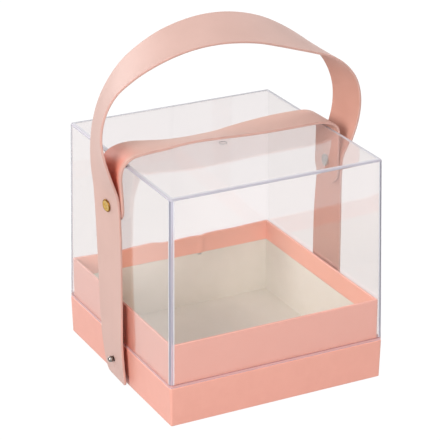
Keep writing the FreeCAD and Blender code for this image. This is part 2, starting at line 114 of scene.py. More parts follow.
def wall_ring(bm, rows, half_x, half_y, side_steps, closed=True, shift=None):
    """Skin a profile round a rounded rectangle. rows are (inset, height, corner radius); shift
    moves a point, for paper that isn't quite flat."""
    rings = []
    for inset, height, corner in rows:
        ring = []
        for x, y in ring_points(half_x - inset, half_y - inset, corner, side_steps):
            place = Vector((x, y, height))
            if shift is not None:
                place += shift(place)
            ring.append(bm.verts.new(place))
        rings.append(ring)
    pairs = list(zip(rings, rings[1:]))
    if closed:
        pairs.append((rings[-1], rings[0]))
    for near, far in pairs:
        bridge_rings(bm, near, far)
    return rings


def with_corners(rows, corner, least):
    """Give each (inset, height) row of a folded sheet the corner radius that its inset leaves."""
    return [(inset, height, max(corner - inset, least)) for inset, height in rows]


def revolved(bm, profile, turns=40):
    """A solid of revolution about Z from a profile of (radius, height) pairs that starts and
    ends on the axis."""
    rings = []
    for radius, height in profile[1:-1]:
        ring = []
        for turn in range(turns):
            angle = 2 * math.pi * turn / turns
            ring.append(bm.verts.new((radius * math.cos(angle), radius * math.sin(angle), height)))
        rings.append(ring)
    first = bm.verts.new((0, 0, profile[0][1]))
    last = bm.verts.new((0, 0, profile[-1][1]))
    for turn in range(turns):
        following = (turn + 1) % turns
        bm.faces.new((first, rings[0][following], rings[0][turn]))
        bm.faces.new((last, rings[-1][turn], rings[-1][following]))
        for near, far in zip(rings, rings[1:]):
            bm.faces.new((near[turn], near[following], far[following], far[turn]))


# ---------------------------------------------------------------- materials

def new_material(name):
    """A node material, its Principled shader and a function that adds nodes."""
    material = bpy.data.materials.new(name)
    material.use_nodes = True
    tree = material.node_tree
    shader = tree.nodes["Principled BSDF"]

    def add(kind, inputs=(), **settings):
        node = tree.nodes.new(kind)
        for key, value in settings.items():
            setattr(node, key, value)
        for key, value in dict(inputs).items():
            if isinstance(value, bpy.types.NodeSocket):
                tree.links.new(value, node.inputs[key])
            else:
                node.inputs[key].default_value = value
        return node

    return material, shader, add


def object_place(add, scale=(1.0, 1.0, 1.0)):
    """The place on the piece, in metres times scale."""
    place = add("ShaderNodeTexCoord").outputs["Object"]
    return add("ShaderNodeMapping", {"Vector": place, "Scale": scale}).outputs["Vector"]


def blended_colour(add, factor, low, high):
    """A colour that goes from low to high with a factor."""
    ramp = add("ShaderNodeValToRGB", {"Fac": factor})
    ramp.color_ramp.elements[0].color = (*low, 1)
    ramp.color_ramp.elements[1].color = (*high, 1)
    return ramp.outputs["Color"]


def spread(add, value, low, high, to_low, to_high):
    """Map a value's range onto another."""
    inputs = {"Value": value, "From Min": low, "From Max": high,
              "To Min": to_low, "To Max": to_high}
    return add("ShaderNodeMapRange", inputs).outputs["Result"]


def link(shader, output, name):
    """Feed a node's output into one of the shader's sockets."""
    shader.id_data.links.new(output, shader.inputs[name])


def set_bump(add, shader, height, strength, distance):
    """Roughen the shader's surface by a height pattern."""
    bump = add("ShaderNodeBump", {"Height": height, "Strength": strength, "Distance": distance})
    link(shader, bump.outputs["Normal"], "Normal")


def painted_shade(add, place, colour, shade_colour, ramps):
    """A colour with a deeper, redder painted shade where all the ramps reach 1. Each ramp is an
    axis, the two places between which it runs, and its values at them."""
    axes = add("ShaderNodeSeparateXYZ", {"Vector": place}).outputs
    shares = [spread(add, axes[axis], *ends) for axis, *ends in ramps]
    share = shares[0]
    for other in shares[1:]:
        share = add("ShaderNodeMath", {0: share, 1: other}, operation="MULTIPLY").outputs[0]
    mix = add("ShaderNodeMixRGB", {"Fac": share, "Color1": colour, "Color2": (*shade_colour, 1)})
    return mix.outputs["Color"]


# Where the left side's paper gets a deep red painted shade: a stripe in the shadow behind the front
# half of the strap's leg.
SHADE_BEHIND_STRAP = [("X", -95.5 * MM, -94.5 * MM, 1, 0), ("Y", -22.5 * MM, -18 * MM, 0, 1),
                ("Y", -16 * MM, -2 * MM, 1, 0)]
# Where the leather gets a deep red painted shade: the left fold, where handle and hold-down strap
# part.
LEFT_FOLD_SHADE = [("Z", 186 * MM, 222 * MM, 1, 0), ("X", -98 * MM, -80 * MM, 1, 0),
             ("Y", -17.5 * MM, -12 * MM, 0, 1)]


def paper_material(name, low, high, roughness, gloss, fibre_scale, fibre_depth, shade_behind_strap=None):
    """Matt paper: a soft mottle in the colour, short fibres and a very slight unevenness. The
    colour for behind the strap is a painted shade: the deep red of the paper in the shadow behind
    the left leg of the strap."""
    material, shader, add = new_material(name)
    place = object_place(add)
    mottle = add("ShaderNodeTexNoise", {"Vector": place, "Scale": 90.0, "Detail": 4.0,
                                        "Roughness": 0.6})
    fibres = add("ShaderNodeTexNoise", {"Vector": place, "Scale": fibre_scale, "Detail": 5.0,
                                        "Roughness": 0.7, "Distortion": 0.6})
    waves = add("ShaderNodeTexNoise", {"Vector": place, "Scale": 22.0, "Detail": 1.0})
    colour = blended_colour(add, spread(add, mottle.outputs["Fac"], 0.3, 0.7, 0, 1), low, high)
    # Painted shade: the paper turns deep red in the strap leg's shadow.
    if shade_behind_strap is not None:
        colour = painted_shade(add, place, colour, shade_behind_strap, SHADE_BEHIND_STRAP)
    link(shader, colour, "Base Color")
    link(shader, spread(add, fibres.outputs["Fac"], 0.3, 0.7, roughness - 0.06, roughness + 0.06),
         "Roughness")
    depth = add("ShaderNodeMath", {0: fibres.outputs["Fac"], 1: fibre_depth}, operation="MULTIPLY")
    height = add("ShaderNodeMath", {0: waves.outputs["Fac"], 1: 0.25, 2: depth.outputs[0]},
                 operation="MULTIPLY_ADD")
    set_bump(add, shader, height.outputs[0], 0.25, 0.12 * MM)
    shader.inputs["Specular IOR Level"].default_value = gloss
    return material


def leather_material(name, low, high, roughness, fold=None):
    """Smooth leather: fine pebbled grain with pores and a slow drift of tone. fold is the colour of
    a painted shade in the left fold, where the two straps part."""
    material, shader, add = new_material(name)
    place = object_place(add)
    tone = add("ShaderNodeTexNoise", {"Vector": place, "Scale": 28.0, "Detail": 3.0})
    pebbles = add("ShaderNodeTexVoronoi", {"Vector": place, "Scale": 1500.0}, feature="F1")
    pores = add("ShaderNodeTexNoise", {"Vector": place, "Scale": 2600.0, "Detail": 2.0})
    colour = blended_colour(add, spread(add, tone.outputs["Fac"], 0.3, 0.7, 0, 1), low, high)
    # Painted shade: the leather turns deep red in the shadowed fold.
    if fold is not None:
        colour = painted_shade(add, place, colour, fold, LEFT_FOLD_SHADE)
    link(shader, colour, "Base Color")
    link(shader, spread(add, pebbles.outputs["Distance"], 0, 1, roughness - 0.05, roughness + 0.1),
         "Roughness")
    height = add("ShaderNodeMath", {0: pores.outputs["Fac"], 1: 0.4,
                                    2: pebbles.outputs["Distance"]}, operation="MULTIPLY_ADD")
    set_bump(add, shader, height.outputs[0], 0.3, 0.12 * MM)
    shader.inputs["Specular IOR Level"].default_value = 0.4
    shader.inputs["Sheen Weight"].default_value = 0.12
    shader.inputs["Sheen Roughness"].default_value = 0.4
    return material


def metal_material(name, low, high, roughness):
    """Plated metal with faint rubbing marks."""
    material, shader, add = new_material(name)
    place = object_place(add, (1.0, 1.0, 3.0))
    rubs = add("ShaderNodeTexNoise", {"Vector": place, "Scale": 420.0, "Detail": 4.0})
    level = spread(add, rubs.outputs["Fac"], 0.3, 0.7, 0, 1)
    link(shader, blended_colour(add, level, low, high), "Base Color")
    link(shader, spread(add, rubs.outputs["Fac"], 0.3, 0.7, roughness - 0.05, roughness + 0.08),
         "Roughness")
    set_bump(add, shader, rubs.outputs["Fac"], 0.08, 0.05 * MM)
    shader.inputs["Metallic"].default_value = 1.0
    return material


def clear_material(name, tint, clearness, roughness):
    """Clear moulded plastic. Light from the lamps, and from one matt surface to another, goes
    straight through it. At its edges the plastic gathers light and looks milky; the edge finishes
    paint that look in as duller, less clear tints, a painted reflection."""
    material, shader, add = new_material(name)
    tree = material.node_tree
    place = object_place(add)
    ripple = add("ShaderNodeTexNoise", {"Vector": place, "Scale": 9.0, "Detail": 1.0})
    set_bump(add, shader, ripple.outputs["Fac"], 0.03, 0.4 * MM)
    shader.inputs["Base Color"].default_value = (*tint, 1.0)
    shader.inputs["Roughness"].default_value = roughness
    shader.inputs["IOR"].default_value = 1.49
    shader.inputs["Transmission Weight"].default_value = clearness
    open_air = add("ShaderNodeBsdfTransparent", {"Color": (1.0, 1.0, 1.0, 1.0)}).outputs["BSDF"]
    rays = add("ShaderNodeLightPath").outputs
    between = add("ShaderNodeMixShader", {"Fac": rays["Is Diffuse Ray"], 1: shader.outputs["BSDF"],
                                          2: open_air}).outputs["Shader"]
    lamps = add("ShaderNodeMixShader", {"Fac": rays["Is Shadow Ray"], 1: between, 2: open_air})
    tree.links.new(lamps.outputs["Shader"], tree.nodes["Material Output"].inputs["Surface"])
    return material


def floor_material(name, low, high, glow):
    """A plain pale floor, lit from within so that it stays white."""
    material, shader, add = new_material(name)
    place = object_place(add)
    grain = add("ShaderNodeTexNoise", {"Vector": place, "Scale": 60.0, "Detail": 3.0})
    link(shader, blended_colour(add, grain.outputs["Fac"], low, high), "Base Color")
    shader.inputs["Roughness"].default_value = 0.9
    shader.inputs["Specular IOR Level"].default_value = 0.1
    shader.inputs["Emission Color"].default_value = (1.0, 1.0, 1.0, 1.0)
    shader.inputs["Emission Strength"].default_value = glow
    return material


# The pink paper's last colour is the painted shade behind the strap's left leg.
PINK_PAPER = paper_material("pink_paper", (0.735, 0.335, 0.262), (0.755, 0.350, 0.276), 0.42, 0.7,
                            900.0, 0.5, (0.74, 0.26, 0.19))
# The paper turned down inside the neck is a lighter copy of the pink paper: painted light on the
# inner walls.
TURNED_PAPER_LIT = paper_material("turned_paper_lit", (0.83, 0.39, 0.285), (0.85, 0.405, 0.30), 0.42, 0.7,
                              900.0, 0.5)
CREAM_PAPER = paper_material("cream_paper", (0.68, 0.64, 0.56), (0.71, 0.67, 0.595), 0.72, 0.3,
                             1100.0, 0.8)
GREY_BOARD = paper_material("grey_board", (0.36, 0.34, 0.31), (0.50, 0.48, 0.44), 0.85, 0.2,
                            700.0, 1.2)
CORNER_TAPE = paper_material("corner_tape", (0.60, 0.50, 0.36), (0.68, 0.58, 0.44), 0.65, 0.3,
                             800.0, 0.9)
PINK_LEATHER = leather_material("pink_leather", (0.56, 0.36, 0.31), (0.595, 0.385, 0.335), 0.48)
# The straps' back is a darker, redder copy of the pink leather: painted shade on the faces turned
# to the box.
LEATHER_BACK_SHADED = leather_material("leather_back_shaded", (0.53, 0.265, 0.20), (0.56, 0.285, 0.22), 0.62,
                                (0.54, 0.19, 0.125))
# The hold-down strap is a lighter copy of the pink leather: painted light against the handle's
# shadow over it.
HOLD_LEATHER_LIT = leather_material("hold_leather_lit", (0.66, 0.41, 0.34), (0.69, 0.435, 0.365), 0.48,
                                (0.74, 0.17, 0.10))
STRAP_EDGE = leather_material("strap_edge", (0.54, 0.31, 0.26), (0.57, 0.33, 0.28), 0.42)
GOLD = metal_material("gold_brass", (0.46, 0.27, 0.055), (0.72, 0.47, 0.13), 0.22)
# The rivet caps' rolled rim is a darker gold: painted shade.
GOLD_RIM_SHADE = metal_material("gold_rim_shade", (0.20, 0.085, 0.01), (0.30, 0.14, 0.025), 0.3)
NICKEL = metal_material("nickel", (0.36, 0.34, 0.31), (0.50, 0.47, 0.43), 0.14)
# The ball studs' nickel is darkened: painted reflection of dark surroundings in the polished balls.
NICKEL_PAINTED_DARK = metal_material("nickel_painted_dark", (0.17, 0.15, 0.14), (0.30, 0.27, 0.25), 0.16)
ZINC_STEEL = metal_material("zinc_steel", (0.42, 0.44, 0.46), (0.60, 0.61, 0.62), 0.35)
CLEAR_PLASTIC = clear_material("clear_plastic", (0.945, 0.917, 0.917), 1.0, 0.01)
# The side walls' tint is darker than the front and back walls': painted shade.
CLEAR_SIDE_SHADED = clear_material("clear_side_shaded", (0.835, 0.810, 0.800), 1.0, 0.01)
# Edge, band and corner tints: painted reflection, the milky look of light caught in the moulding's
# edges.
CLEAR_EDGE = clear_material("clear_edge", (0.46, 0.43, 0.49), 0.12, 0.35)
CLEAR_BAND = clear_material("clear_band", (0.70, 0.69, 0.74), 0.25, 0.25)
CLEAR_CORNER = clear_material("clear_corner", (0.46, 0.45, 0.55), 0.50, 0.25)
# The foot band's pink is the shaded paper seen through it, painted in; the dark line above it is a
# painted shadow of the gap between neck and base.
CLEAR_FOOT = clear_material("clear_foot", (0.70, 0.42, 0.42), 0.35, 0.25)
CLEAR_SHADOW_LINE = clear_material("clear_shadow_line", (0.38, 0.18, 0.17), 0.20, 0.25)
GATE_PLASTIC = clear_material("gate_plastic", (0.28, 0.27, 0.29), 0.1, 0.3)
FLOOR = floor_material("pale_floor", (0.06, 0.06, 0.06), (0.08, 0.08, 0.08), 0.95)
FLOOR_BOUNCE = floor_material("floor_bounce", (0.54, 0.54, 0.54), (0.56, 0.56, 0.56), 0.0)


def finish_piece(piece, body, slot, *nodes):
    """Ride a piece on its body and let it stand for CAD nodes. slot, the name of its finish, is not
    used.
    """
    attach(piece, body)
    if nodes:
        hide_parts(*nodes)
    return piece


# ---------------------------------------------------------------- paper and board

PAPER = 0.3 * MM
TAPE = 0.15 * MM
BASE_BOARD = 2 * MM
NECK_BOARD = 1.5 * MM
NECK_SIDE_STEPS = 90
base_low, base_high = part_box("base_wrap")
neck_low, neck_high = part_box("neck_wrap")
BASE_TOP = base_high[2]
BASE_LEAN = 1.0 * MM
NECK_TOP = neck_high[2]


def base_inset(height):
    """How far the base's leaning outer face stands inside its rim at a height."""
    return BASE_LEAN * (1 - height / BASE_TOP)


def make_base_wrap():
    """Pink paper over the base board: round the walls, over the rim and under the bottom."""
    turned_under, turned_in = 15 * MM, 10 * MM
    fold, rim_width = 0.7 * MM, 2 * PAPER + TAPE + BASE_BOARD
    below_rim, lowest = BASE_TOP - 2 * MM, BASE_TOP - turned_in
    rows = [(turned_under, 0.0), (turned_under * 0.5, 0.0), (base_inset(0) + 2 * fold, 0.0)]
    rows += arc((base_inset(fold) + fold, fold), fold, 270, 180)
    rows += [(base_inset(z), z) for z in (2.5 * MM, BASE_TOP / 2, below_rim)]
    rows += arc((fold, BASE_TOP - fold), fold, 180, 90)
    rows += arc((rim_width - fold, BASE_TOP - fold), fold, 90, 0)
    inner = rim_width + base_inset(lowest)
    rows += [(rim_width + base_inset(below_rim), below_rim), (inner, lowest)]
    rows += [(inner - PAPER, lowest), (rim_width - PAPER, BASE_TOP - PAPER)]
    rows += [(PAPER, BASE_TOP - PAPER), (base_inset(0) + PAPER, PAPER), (turned_under, PAPER)]
    bm = bmesh.new()
    rows = with_corners(rows, 2.4 * MM, 0.3 * MM)
    wall_ring(bm, rows, base_high[0], base_high[1], 12, shift=base_unevenness)
    piece = weight_normals(add_object("base_paper", bm, PINK_PAPER))
    return finish_piece(piece, "root", "pink_paper", "base_wrap")


def base_unevenness(place):
    """Glued paper is never quite flat: a tenth of a millimetre over a hand's breadth."""
    if place.z < 2 * MM:
        return Vector((0, 0, 0))
    depth = abs(noise.noise(place * 35)) * 0.10 * MM
    if abs(place.x) > abs(place.y) - 2 * MM:
        return Vector((-math.copysign(depth, place.x), 0, 0))
    return Vector((0, -math.copysign(depth, place.y), 0))


# How far the back wall's rim sags: place along X and depth, in millimetres.
BACK_SAG = [(-96, 0), (-48, 1.1), (-35, 0.4), (-21, 0), (-7, 2.0), (2, 1.8), (14, 1.3), (25, 1.6),
            (30, 1.0), (43, 0.7), (62, 1.0), (76, 0.4), (96, 0)]


def back_sag(across):
    """The back rim's sag at a place along X, eased from one listed place to the next."""
    for (near, near_depth), (far, far_depth) in zip(BACK_SAG, BACK_SAG[1:]):
        if near <= across <= far:
            share = (across - near) / (far - near)
            return near_depth + (far_depth - near_depth) * share * share * (3 - 2 * share)
    return 0.0


def neck_unevenness(place):
    """The back wall's rim sags, and a slanting crease runs down its turned paper."""
    if place.y < 80 * MM:
        return Vector((0, 0, 0))
    foot, slant = 50 * MM, 0.11
    crease_place, crease_width, crease_depth = 28 * MM, 2.2 * MM, 1.4 * MM
    rise = max(0.0, (place.z - foot) / (NECK_TOP - foot))
    aside = place.x - crease_place + (NECK_TOP - place.z) * slant
    crease = crease_depth * math.exp(-(aside / crease_width) ** 2) * min(1.0, rise * 4)
    return Vector((0, -crease, -back_sag(place.x / MM) * MM * rise))


def make_neck_wrap():
    """Pink paper over the top of the neck, turned down inside it."""
    fold, rim_width, lowest = 0.6 * MM, 2 * PAPER + TAPE + NECK_BOARD, NECK_TOP - 18 * MM
    heights = [neck_low[2]] + [height * MM for height in (28, 36, 44, 52, 58, 64, 69)]
    turned = [69 * MM, 64 * MM, 59 * MM, lowest]
    rows = [(0.0, z) for z in heights]
    rows += arc((fold, NECK_TOP - fold), fold, 180, 90)
    rows += arc((rim_width - fold, NECK_TOP - fold), fold, 90, 0)
    rows += [(rim_width, z) for z in turned]
    rows += [(rim_width - PAPER, z) for z in reversed(turned)]
    rows += [(rim_width - PAPER, NECK_TOP - PAPER), (PAPER, NECK_TOP - PAPER)]
    rows += [(PAPER, z) for z in reversed(heights)]
    bm = bmesh.new()
    rows = with_corners(rows, 1.3 * MM, 0.3 * MM)
    wall_ring(bm, rows, neck_high[0], neck_high[1], NECK_SIDE_STEPS, shift=neck_unevenness)
    # The inward faces take the lighter copy of the paper, a painted light.
    inner_face = rim_width - 0.1 * MM
    for face in bm.faces:
        middle = face.calc_center_median()
        face.material_index = int(abs(middle.x) < neck_high[0] - inner_face
                                  and abs(middle.y) < neck_high[1] - inner_face)
    piece = weight_normals(add_object("neck_paper", bm, PINK_PAPER))
    piece.data.materials.append(TURNED_PAPER_LIT)
    return finish_piece(piece, "root", "pink_paper", "neck_wrap")


def make_neck_board():
    """The neck's board tray, which follows the same waves as its paper."""
    low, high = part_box("neck_board")
    heights = [height * MM for height in (20, 40, 50, 58, 64, 69)] + [high[2] - 0.1 * MM]
    rows = [(0.0, z) for z in [low[2]] + heights]
    rows += [(NECK_BOARD, z) for z in reversed(heights)] + [(NECK_BOARD, low[2] + NECK_BOARD)]
    bm = bmesh.new()
    rows = with_corners(rows, 0.9 * MM, 0.3 * MM)
    rings = wall_ring(bm, rows, high[0], high[1], NECK_SIDE_STEPS, closed=False,
                      shift=neck_unevenness)
    bm.faces.new(rings[0])
    bm.faces.new(rings[-1])
    piece = weight_normals(add_object("neck_board_tray", bm, GREY_BOARD, smooth=False))
    return finish_piece(piece, "root", "grey_board", "neck_board")


def dress_cad_nodes():
    """Give the CAD nodes that show as they are their finished materials."""
    dresses = {
        "base_board": GREY_BOARD, "bottom_sheet": PINK_PAPER,
        "base_corner_stays": CORNER_TAPE, "neck_corner_stays": CORNER_TAPE,
        "wall_lining": CREAM_PAPER, "floor_lining": CREAM_PAPER,
        "left_stud_screw": ZINC_STEEL, "right_stud_screw": ZINC_STEEL,
    }
    for node, material in dresses.items():
        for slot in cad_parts[node].material_slots:
            slot.material = material


# ---------------------------------------------------------------- clear cover

COVER_DRAFT = 3 * MM
COVER_WALL = 2 * MM
COVER_CORNER = 2.5 * MM
# Heights of the painted foot band and of the painted shadow line above it.
FOOT_HEIGHT = 2.3 * MM
SHADOW_LINE_HEIGHT = 0.8 * MM
UPRIGHT_BAND = 1.1 * MM
TOP_STRIP = 3.6 * MM


def cover_finish(face, low, high, border):
    """Which finish a face of the cover has. Plastic looks clear straight on and milky where it is
    seen through its edges: along the top edges, the uprights and the foot. These milky tints are
    painted reflection; the foot band's pink is the shaded paper behind it, painted in, and the line
    above it is a painted shadow."""
    middle = face.calc_center_median()
    height = middle.z - low.z
    lean = COVER_DRAFT * height / (high.z - low.z)
    nearer, farther = sorted((high.x - lean - abs(middle.x), high.y - lean - abs(middle.y)))
    beside_upright = farther < 4 * MM
    if height < 0.3 * MM:
        return CLEAR_EDGE
    if middle.z > high.z - 0.01 * MM:
        return CLEAR_BAND if nearer < TOP_STRIP + 0.1 * MM else CLEAR_PLASTIC
    if middle.z > border:
        return CLEAR_EDGE
    if nearer > 1.2 * MM or (beside_upright and middle.x > 0 and middle.y > 0):
        return CLEAR_PLASTIC
    if height < FOOT_HEIGHT:
        return CLEAR_FOOT
    if height < FOOT_HEIGHT + SHADOW_LINE_HEIGHT:
        return CLEAR_SHADOW_LINE
    if beside_upright:
        return CLEAR_BAND if max(map(abs, face.normal)) > 0.995 else CLEAR_CORNER
    # The side walls take the darker tint, a painted shade.
    return CLEAR_SIDE_SHADED if abs(face.normal.x) > 0.9 else CLEAR_PLASTIC


def cut_beside_uprights(bm, low, high, border):
    """Cut the outer walls along the leaning lines where the bands beside the uprights end."""
    for side in (Vector((1, 0, 0)), Vector((-1, 0, 0)), Vector((0, 1, 0)), Vector((0, -1, 0))):
        reach = abs(side.dot(high)) - COVER_CORNER - UPRIGHT_BAND
        tilt = side * (high.z - low.z) + Vector((0, 0, COVER_DRAFT))
        walls = []
        for face in bm.faces:
            middle = face.calc_center_median()
            inside = min(high.x - abs(middle.x), high.y - abs(middle.y))
            if middle.z < border and inside < COVER_DRAFT + 1.2 * MM:
                walls.append(face)
        bmesh.ops.bisect_plane(bm, geom=walls + bm.edges[:] + bm.verts[:], dist=1e-7,
                               plane_co=side * reach + Vector((0, 0, low.z)),
                               plane_no=tilt.normalized())


def make_clear_cover():
    """A moulded cover of even wall thickness with rounded edges, open below."""
    low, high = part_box("clear_cover")
    top_round, foot_round = 1.3 * MM, 0.3 * MM
    inner_corner, inner_round = 0.7 * MM, 0.6 * MM
    top, inner_top = high.z, high.z - COVER_WALL
    border, step = top - top_round - 0.2 * MM, low.z + FOOT_HEIGHT

    def lean(z):
        return COVER_DRAFT * (z - low.z) / (top - low.z)

    rows = [(COVER_WALL, low.z, inner_corner)]
    rows += [(inset, z, COVER_CORNER) for inset, z in
             arc((foot_round, low.z + foot_round), foot_round, 270, 180, 3)]
    rows += [(lean(z), z, COVER_CORNER) for z in (step, step + SHADOW_LINE_HEIGHT, border)]
    for inset, z in arc((lean(top) + top_round, top - top_round), top_round, 180, 90, 6):
        rows.append((inset, z, COVER_CORNER + lean(top) - inset))
    rows.append((lean(top) + TOP_STRIP, top, 0.3 * MM))
    inner_centre = (COVER_WALL + lean(inner_top) + inner_round, inner_top - inner_round)
    inner = [(inset, z, inner_corner) for inset, z in arc(inner_centre, inner_round, 90, 180, 4)]
    bm = bmesh.new()
    rings = wall_ring(bm, rows, high.x, high.y, 1, closed=False)
    bm.faces.new(rings[-1])
    inner_rings = wall_ring(bm, inner, high.x, high.y, 1, closed=False)
    bm.faces.new(inner_rings[0])
    bridge_rings(bm, inner_rings[-1], rings[0])
    cut_beside_uprights(bm, low, high, border)
    bm.normal_update()
    finishes = [CLEAR_PLASTIC, CLEAR_SIDE_SHADED, CLEAR_EDGE, CLEAR_BAND, CLEAR_CORNER, CLEAR_FOOT,
                CLEAR_SHADOW_LINE]
    for face in bm.faces:
        face.material_index = finishes.index(cover_finish(face, low, high, border))
    piece = add_object("cover_shell", bm, finishes[0])
    for finish in finishes[1:]:
        piece.data.materials.append(finish)
    return finish_piece(weight_normals(piece), "cover", "clear_plastic", "clear_cover")


def make_gate_mark():
    """The small ring that the mould's gate leaves on top of the cover."""
    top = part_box("clear_cover")[1].z
    centre = Vector((-2.4 * MM, -5.4 * MM, top + 0.2 * MM))
    radius, tube, turns, sides = 3.2 * MM, 0.24 * MM, 40, 10
    bm = bmesh.new()
    rings = []
    for turn in range(turns):
        around = 2 * math.pi * turn / turns
        ring = []
        for side in range(sides):
            up = 2 * math.pi * side / sides
            reach = radius + tube * math.cos(up)
            place = Vector((reach * math.cos(around), reach * math.sin(around),
                            tube * math.sin(up)))
            ring.append(bm.verts.new(centre + place))
        rings.append(ring)
    for near, far in zip(rings, rings[1:] + rings[:1]):
        bridge_rings(bm, near, far)
    return finish_piece(add_object("gate_mark", bm, GATE_PLASTIC), "cover", "clear_plastic")


# ---------------------------------------------------------------- straps

# The straps' runs, as in the CAD model: x, y, z in millimetres, then yaw (degrees that the back
# edge is turned towards +X) and tip (degrees that the back edge is raised).
HANDLE_RUN = [
    (-102.5, -2.5, 1.4, 3, -2),
    (-105.3, -1.0, 36.0, 0, -2),
    (-105.0, 1.0, 77.0, -3, -2),
    (-104.6, 2.5, 115.0, -5, -2),
    (-104.9, 3.2, 146.0, -6, -2),
    (-105.3, 3.5, 158.5, -6, -2),
    (-106.2, 3.8, 171.0, -5, -1),
    (-110.0, 4.0, 189.0, 1, 0),
    (-112.6, 4.2, 208.0, 9, 1),
    (-112.4, 4.0, 226.0, 15, 1),
    (-108.2, 2.5, 244.8, 17, 1),
    (-100.0, -0.3, 261.5, 16, 2),
    (-87.8, -4.2, 275.5, 11, 6),
    (-73.3, -8.4, 286.5, 8, 10),
    (-57.1, -12.3, 295.2, 6, 14),
    (-39.6, -15.6, 301.0, 5, 17),
    (-21.1, -18.1, 303.8, 4, 20),
    (-2.4, -19.4, 303.4, 4, 22),
    (16.2, -19.5, 300.2, 4, 22),
    (34.1, -18.6, 294.5, 4, 21),
    (51.3, -17.0, 287.3, 2, 17),
    (68.2, -15.0, 279.2, -1, 11),
    (84.5, -12.8, 270.2, -5, 5),
    (99.0, -10.5, 258.6, -7, 3),
    (110.0, -8.5, 243.5, -8, 2),
    (115.6, -7.0, 225.6, -6, 3),
    (115.4, -6.0, 207.0, -3, 3),
    (110.9, -5.0, 189.0, -1, 2),
    (105.0, -4.0, 174.0, 0, 2),
    (104.0, -3.0, 163.5, 0, 2),
    (103.4, -3.0, 150.0, 0, 2),
    (103.0, -2.0, 115.0, -4, 1),
    (103.4, -1.0, 77.0, -5, 1),
    (103.8, -1.0, 36.0, -4, 1),
    (104.0, -1.0, 2.0, -4, 0),
]

HOLD_RUN = [
    (-102.0, 1.0, 144.0, -6, 0),
    (-102.3, 1.0, 158.5, -6, 0),
    (-102.8, 0.5, 175.0, -5, 0),
    (-102.8, 0.0, 188.0, -2, 0),
    (-100.0, 0.0, 197.6, 0, -1),
    (-92.0, -0.2, 203.6, 1, -3),
    (-79.0, -0.5, 205.6, 1, -4),
    (-63.0, -1.0, 205.3, 1, -8),
    (-48.0, -1.5, 205.2, 1, -13),
    (-32.0, -2.0, 205.2, 1, -15),
    (-16.0, -2.3, 205.0, 1, -14),
    (0.0, -2.5, 205.0, 1, -12),
    (15.0, -2.8, 205.6, 0, -8),
    (30.0, -3.0, 206.2, 0, -5),
    (45.0, -3.0, 206.7, 0, -3),
    (60.0, -3.0, 207.0, 0, -2),
    (76.0, -3.0, 207.0, 0, -2),
    (89.0, -3.0, 205.8, 0, -1),
    (98.4, -3.0, 200.8, 0, -1),
    (101.0, -3.0, 191.0, 0, -1),
    (101.2, -3.0, 177.0, 0, -1),
    (101.0, -3.0, 163.5, 0, -1),
    (100.7, -3.0, 147.0, 0, -1),
]

# Each rivet: the side it is on, its middle between the two caps in millimetres, the yaw of the
# straps there and the droop of their outer faces, in degrees.
RIVETS = {"left": (-1, (-103.8, 2.0, 159.3), -8, 3.5), "right": (1, (102.5, -3.0, 163.5), 0, 2)}

HANDLE_WIDTH = 40 * MM
HOLD_WIDTH = 38 * MM
STRAP_GAUGE = 2 * MM
EDGE_ROUND = 0.5 * MM
TIP_CORNERS = (2.5 * MM, 7 * MM)  # front and back corner of the handle's tips
TIP_ZONE = 27 * MM  # how far a tip's own mesh reaches
HOLE_ZONE = 6 * MM  # how far the mesh round a rivet's hole reaches
COLUMN_STEP = 2.5 * MM
SAME_PLACE = 1e-7
SPAN_CUTS = 16  # lengths between two listed places of a run
SEARCH_STEPS = 2000
ROWS = (-1, -0.93, -0.8, -0.6, -0.4, -0.2, 0, 0.2, 0.4, 0.6, 0.8, 0.93, 1)
STUD_PLACE = (-2 * MM, 19.5 * MM)
BUTTONHOLE = 2.4 * MM
RIVET_HOLE = 2.5 * MM


def place_at(run, station):
    """The middle of a strap and the direction across it at a station number, which may lie
    between two listed stations, on a smooth curve through all of them."""
    station = min(max(station, 0), len(run) - 1)
    span = min(int(station), len(run) - 2)
    t = station - span
    listed = [run[min(max(span + step, 0), len(run) - 1)] for step in (-1, 0, 1, 2)]
    x, y, z, yaw, tip = (
        b + 0.5 * t * (c - a + t * (2 * a - 5 * b + 4 * c - d + t * (3 * b - a - 3 * c + d)))
        for a, b, c, d in zip(*listed))
    yaw, tip = math.radians(yaw), math.radians(tip)
    across = Vector((math.sin(yaw) * math.cos(tip), math.cos(yaw) * math.cos(tip), math.sin(tip)))
    return Vector((x, y, z)) * MM, across


class Run:
    """A strap's run, measured along its middle."""

    def __init__(self, run):
        self.run = run
        self.stations = [cut / SPAN_CUTS for cut in range((len(run) - 1) * SPAN_CUTS + 1)]
        middles = [place_at(run, station)[0] for station in self.stations]
        self.lengths = [0.0]
        for near, far in zip(middles, middles[1:]):
            self.lengths.append(self.lengths[-1] + (far - near).length)
        self.length = self.lengths[-1]
        self.steps = [self.length * step / SEARCH_STEPS for step in range(SEARCH_STEPS + 1)]

    def frame_at(self, length):
        """The middle, the direction across and the outward direction at a length."""
        index = min(max(bisect.bisect(self.lengths, length), 1), len(self.lengths) - 1)
        low, high = self.lengths[index - 1], self.lengths[index]
        share = (length - low) / (high - low)
        station = self.stations[index - 1] + share / SPAN_CUTS
        middle, across = place_at(self.run, station)
        along = place_at(self.run, station + 0.05)[0] - place_at(self.run, station - 0.05)[0]
        return middle, across, along.cross(across).normalized()

    def nearest(self, place):
        """The length where the middle comes nearest to a place, and how far across it lies."""
        length = min(self.steps, key=lambda s: (self.frame_at(s)[0] - place).length)
        middle, across, _ = self.frame_at(length)
        return length, (place - middle).dot(across)

    def length_at_height(self, height, side):
        """The length where the middle crosses a height on one side of the box."""
        steps = [s for s in self.steps if self.frame_at(s)[0].x * side > 0]
        return min(steps, key=lambda s: abs(self.frame_at(s)[0].z - height))


